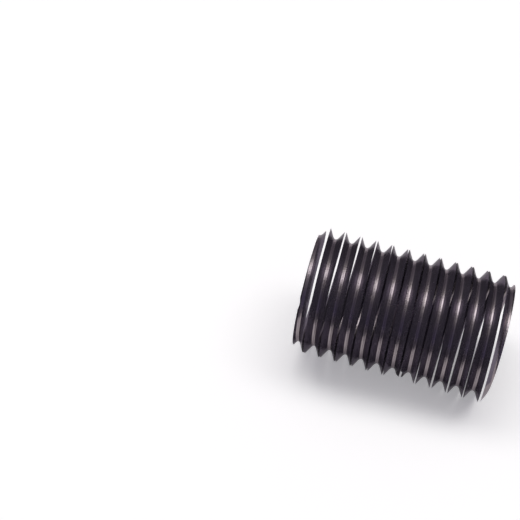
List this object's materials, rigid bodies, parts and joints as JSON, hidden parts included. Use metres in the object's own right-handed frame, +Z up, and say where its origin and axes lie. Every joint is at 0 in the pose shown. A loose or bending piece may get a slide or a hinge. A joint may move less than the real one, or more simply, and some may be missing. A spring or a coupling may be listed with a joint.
{
  "type": "banjo bolt",
  "caption": "Dark steel banjo bolt: hexagon head, drilled necks between smooth lands, and a threaded end, lying at rest.",
  "frame": {"origin": "centre of the bounding box's underside, on the floor the bolt lies on", "axes": "+X towards the thread end, +Z up; the bolt's own axis slopes down to +X by the rest tilt"},
  "size_m": [0.0386, 0.0156, 0.0143],
  "materials": {
    "steel": "satin turned dark steel, lightly worn"
  },
  "bodies": {
    "root": {"banjo_bolt": "steel"}
  },
  "joints": []
}
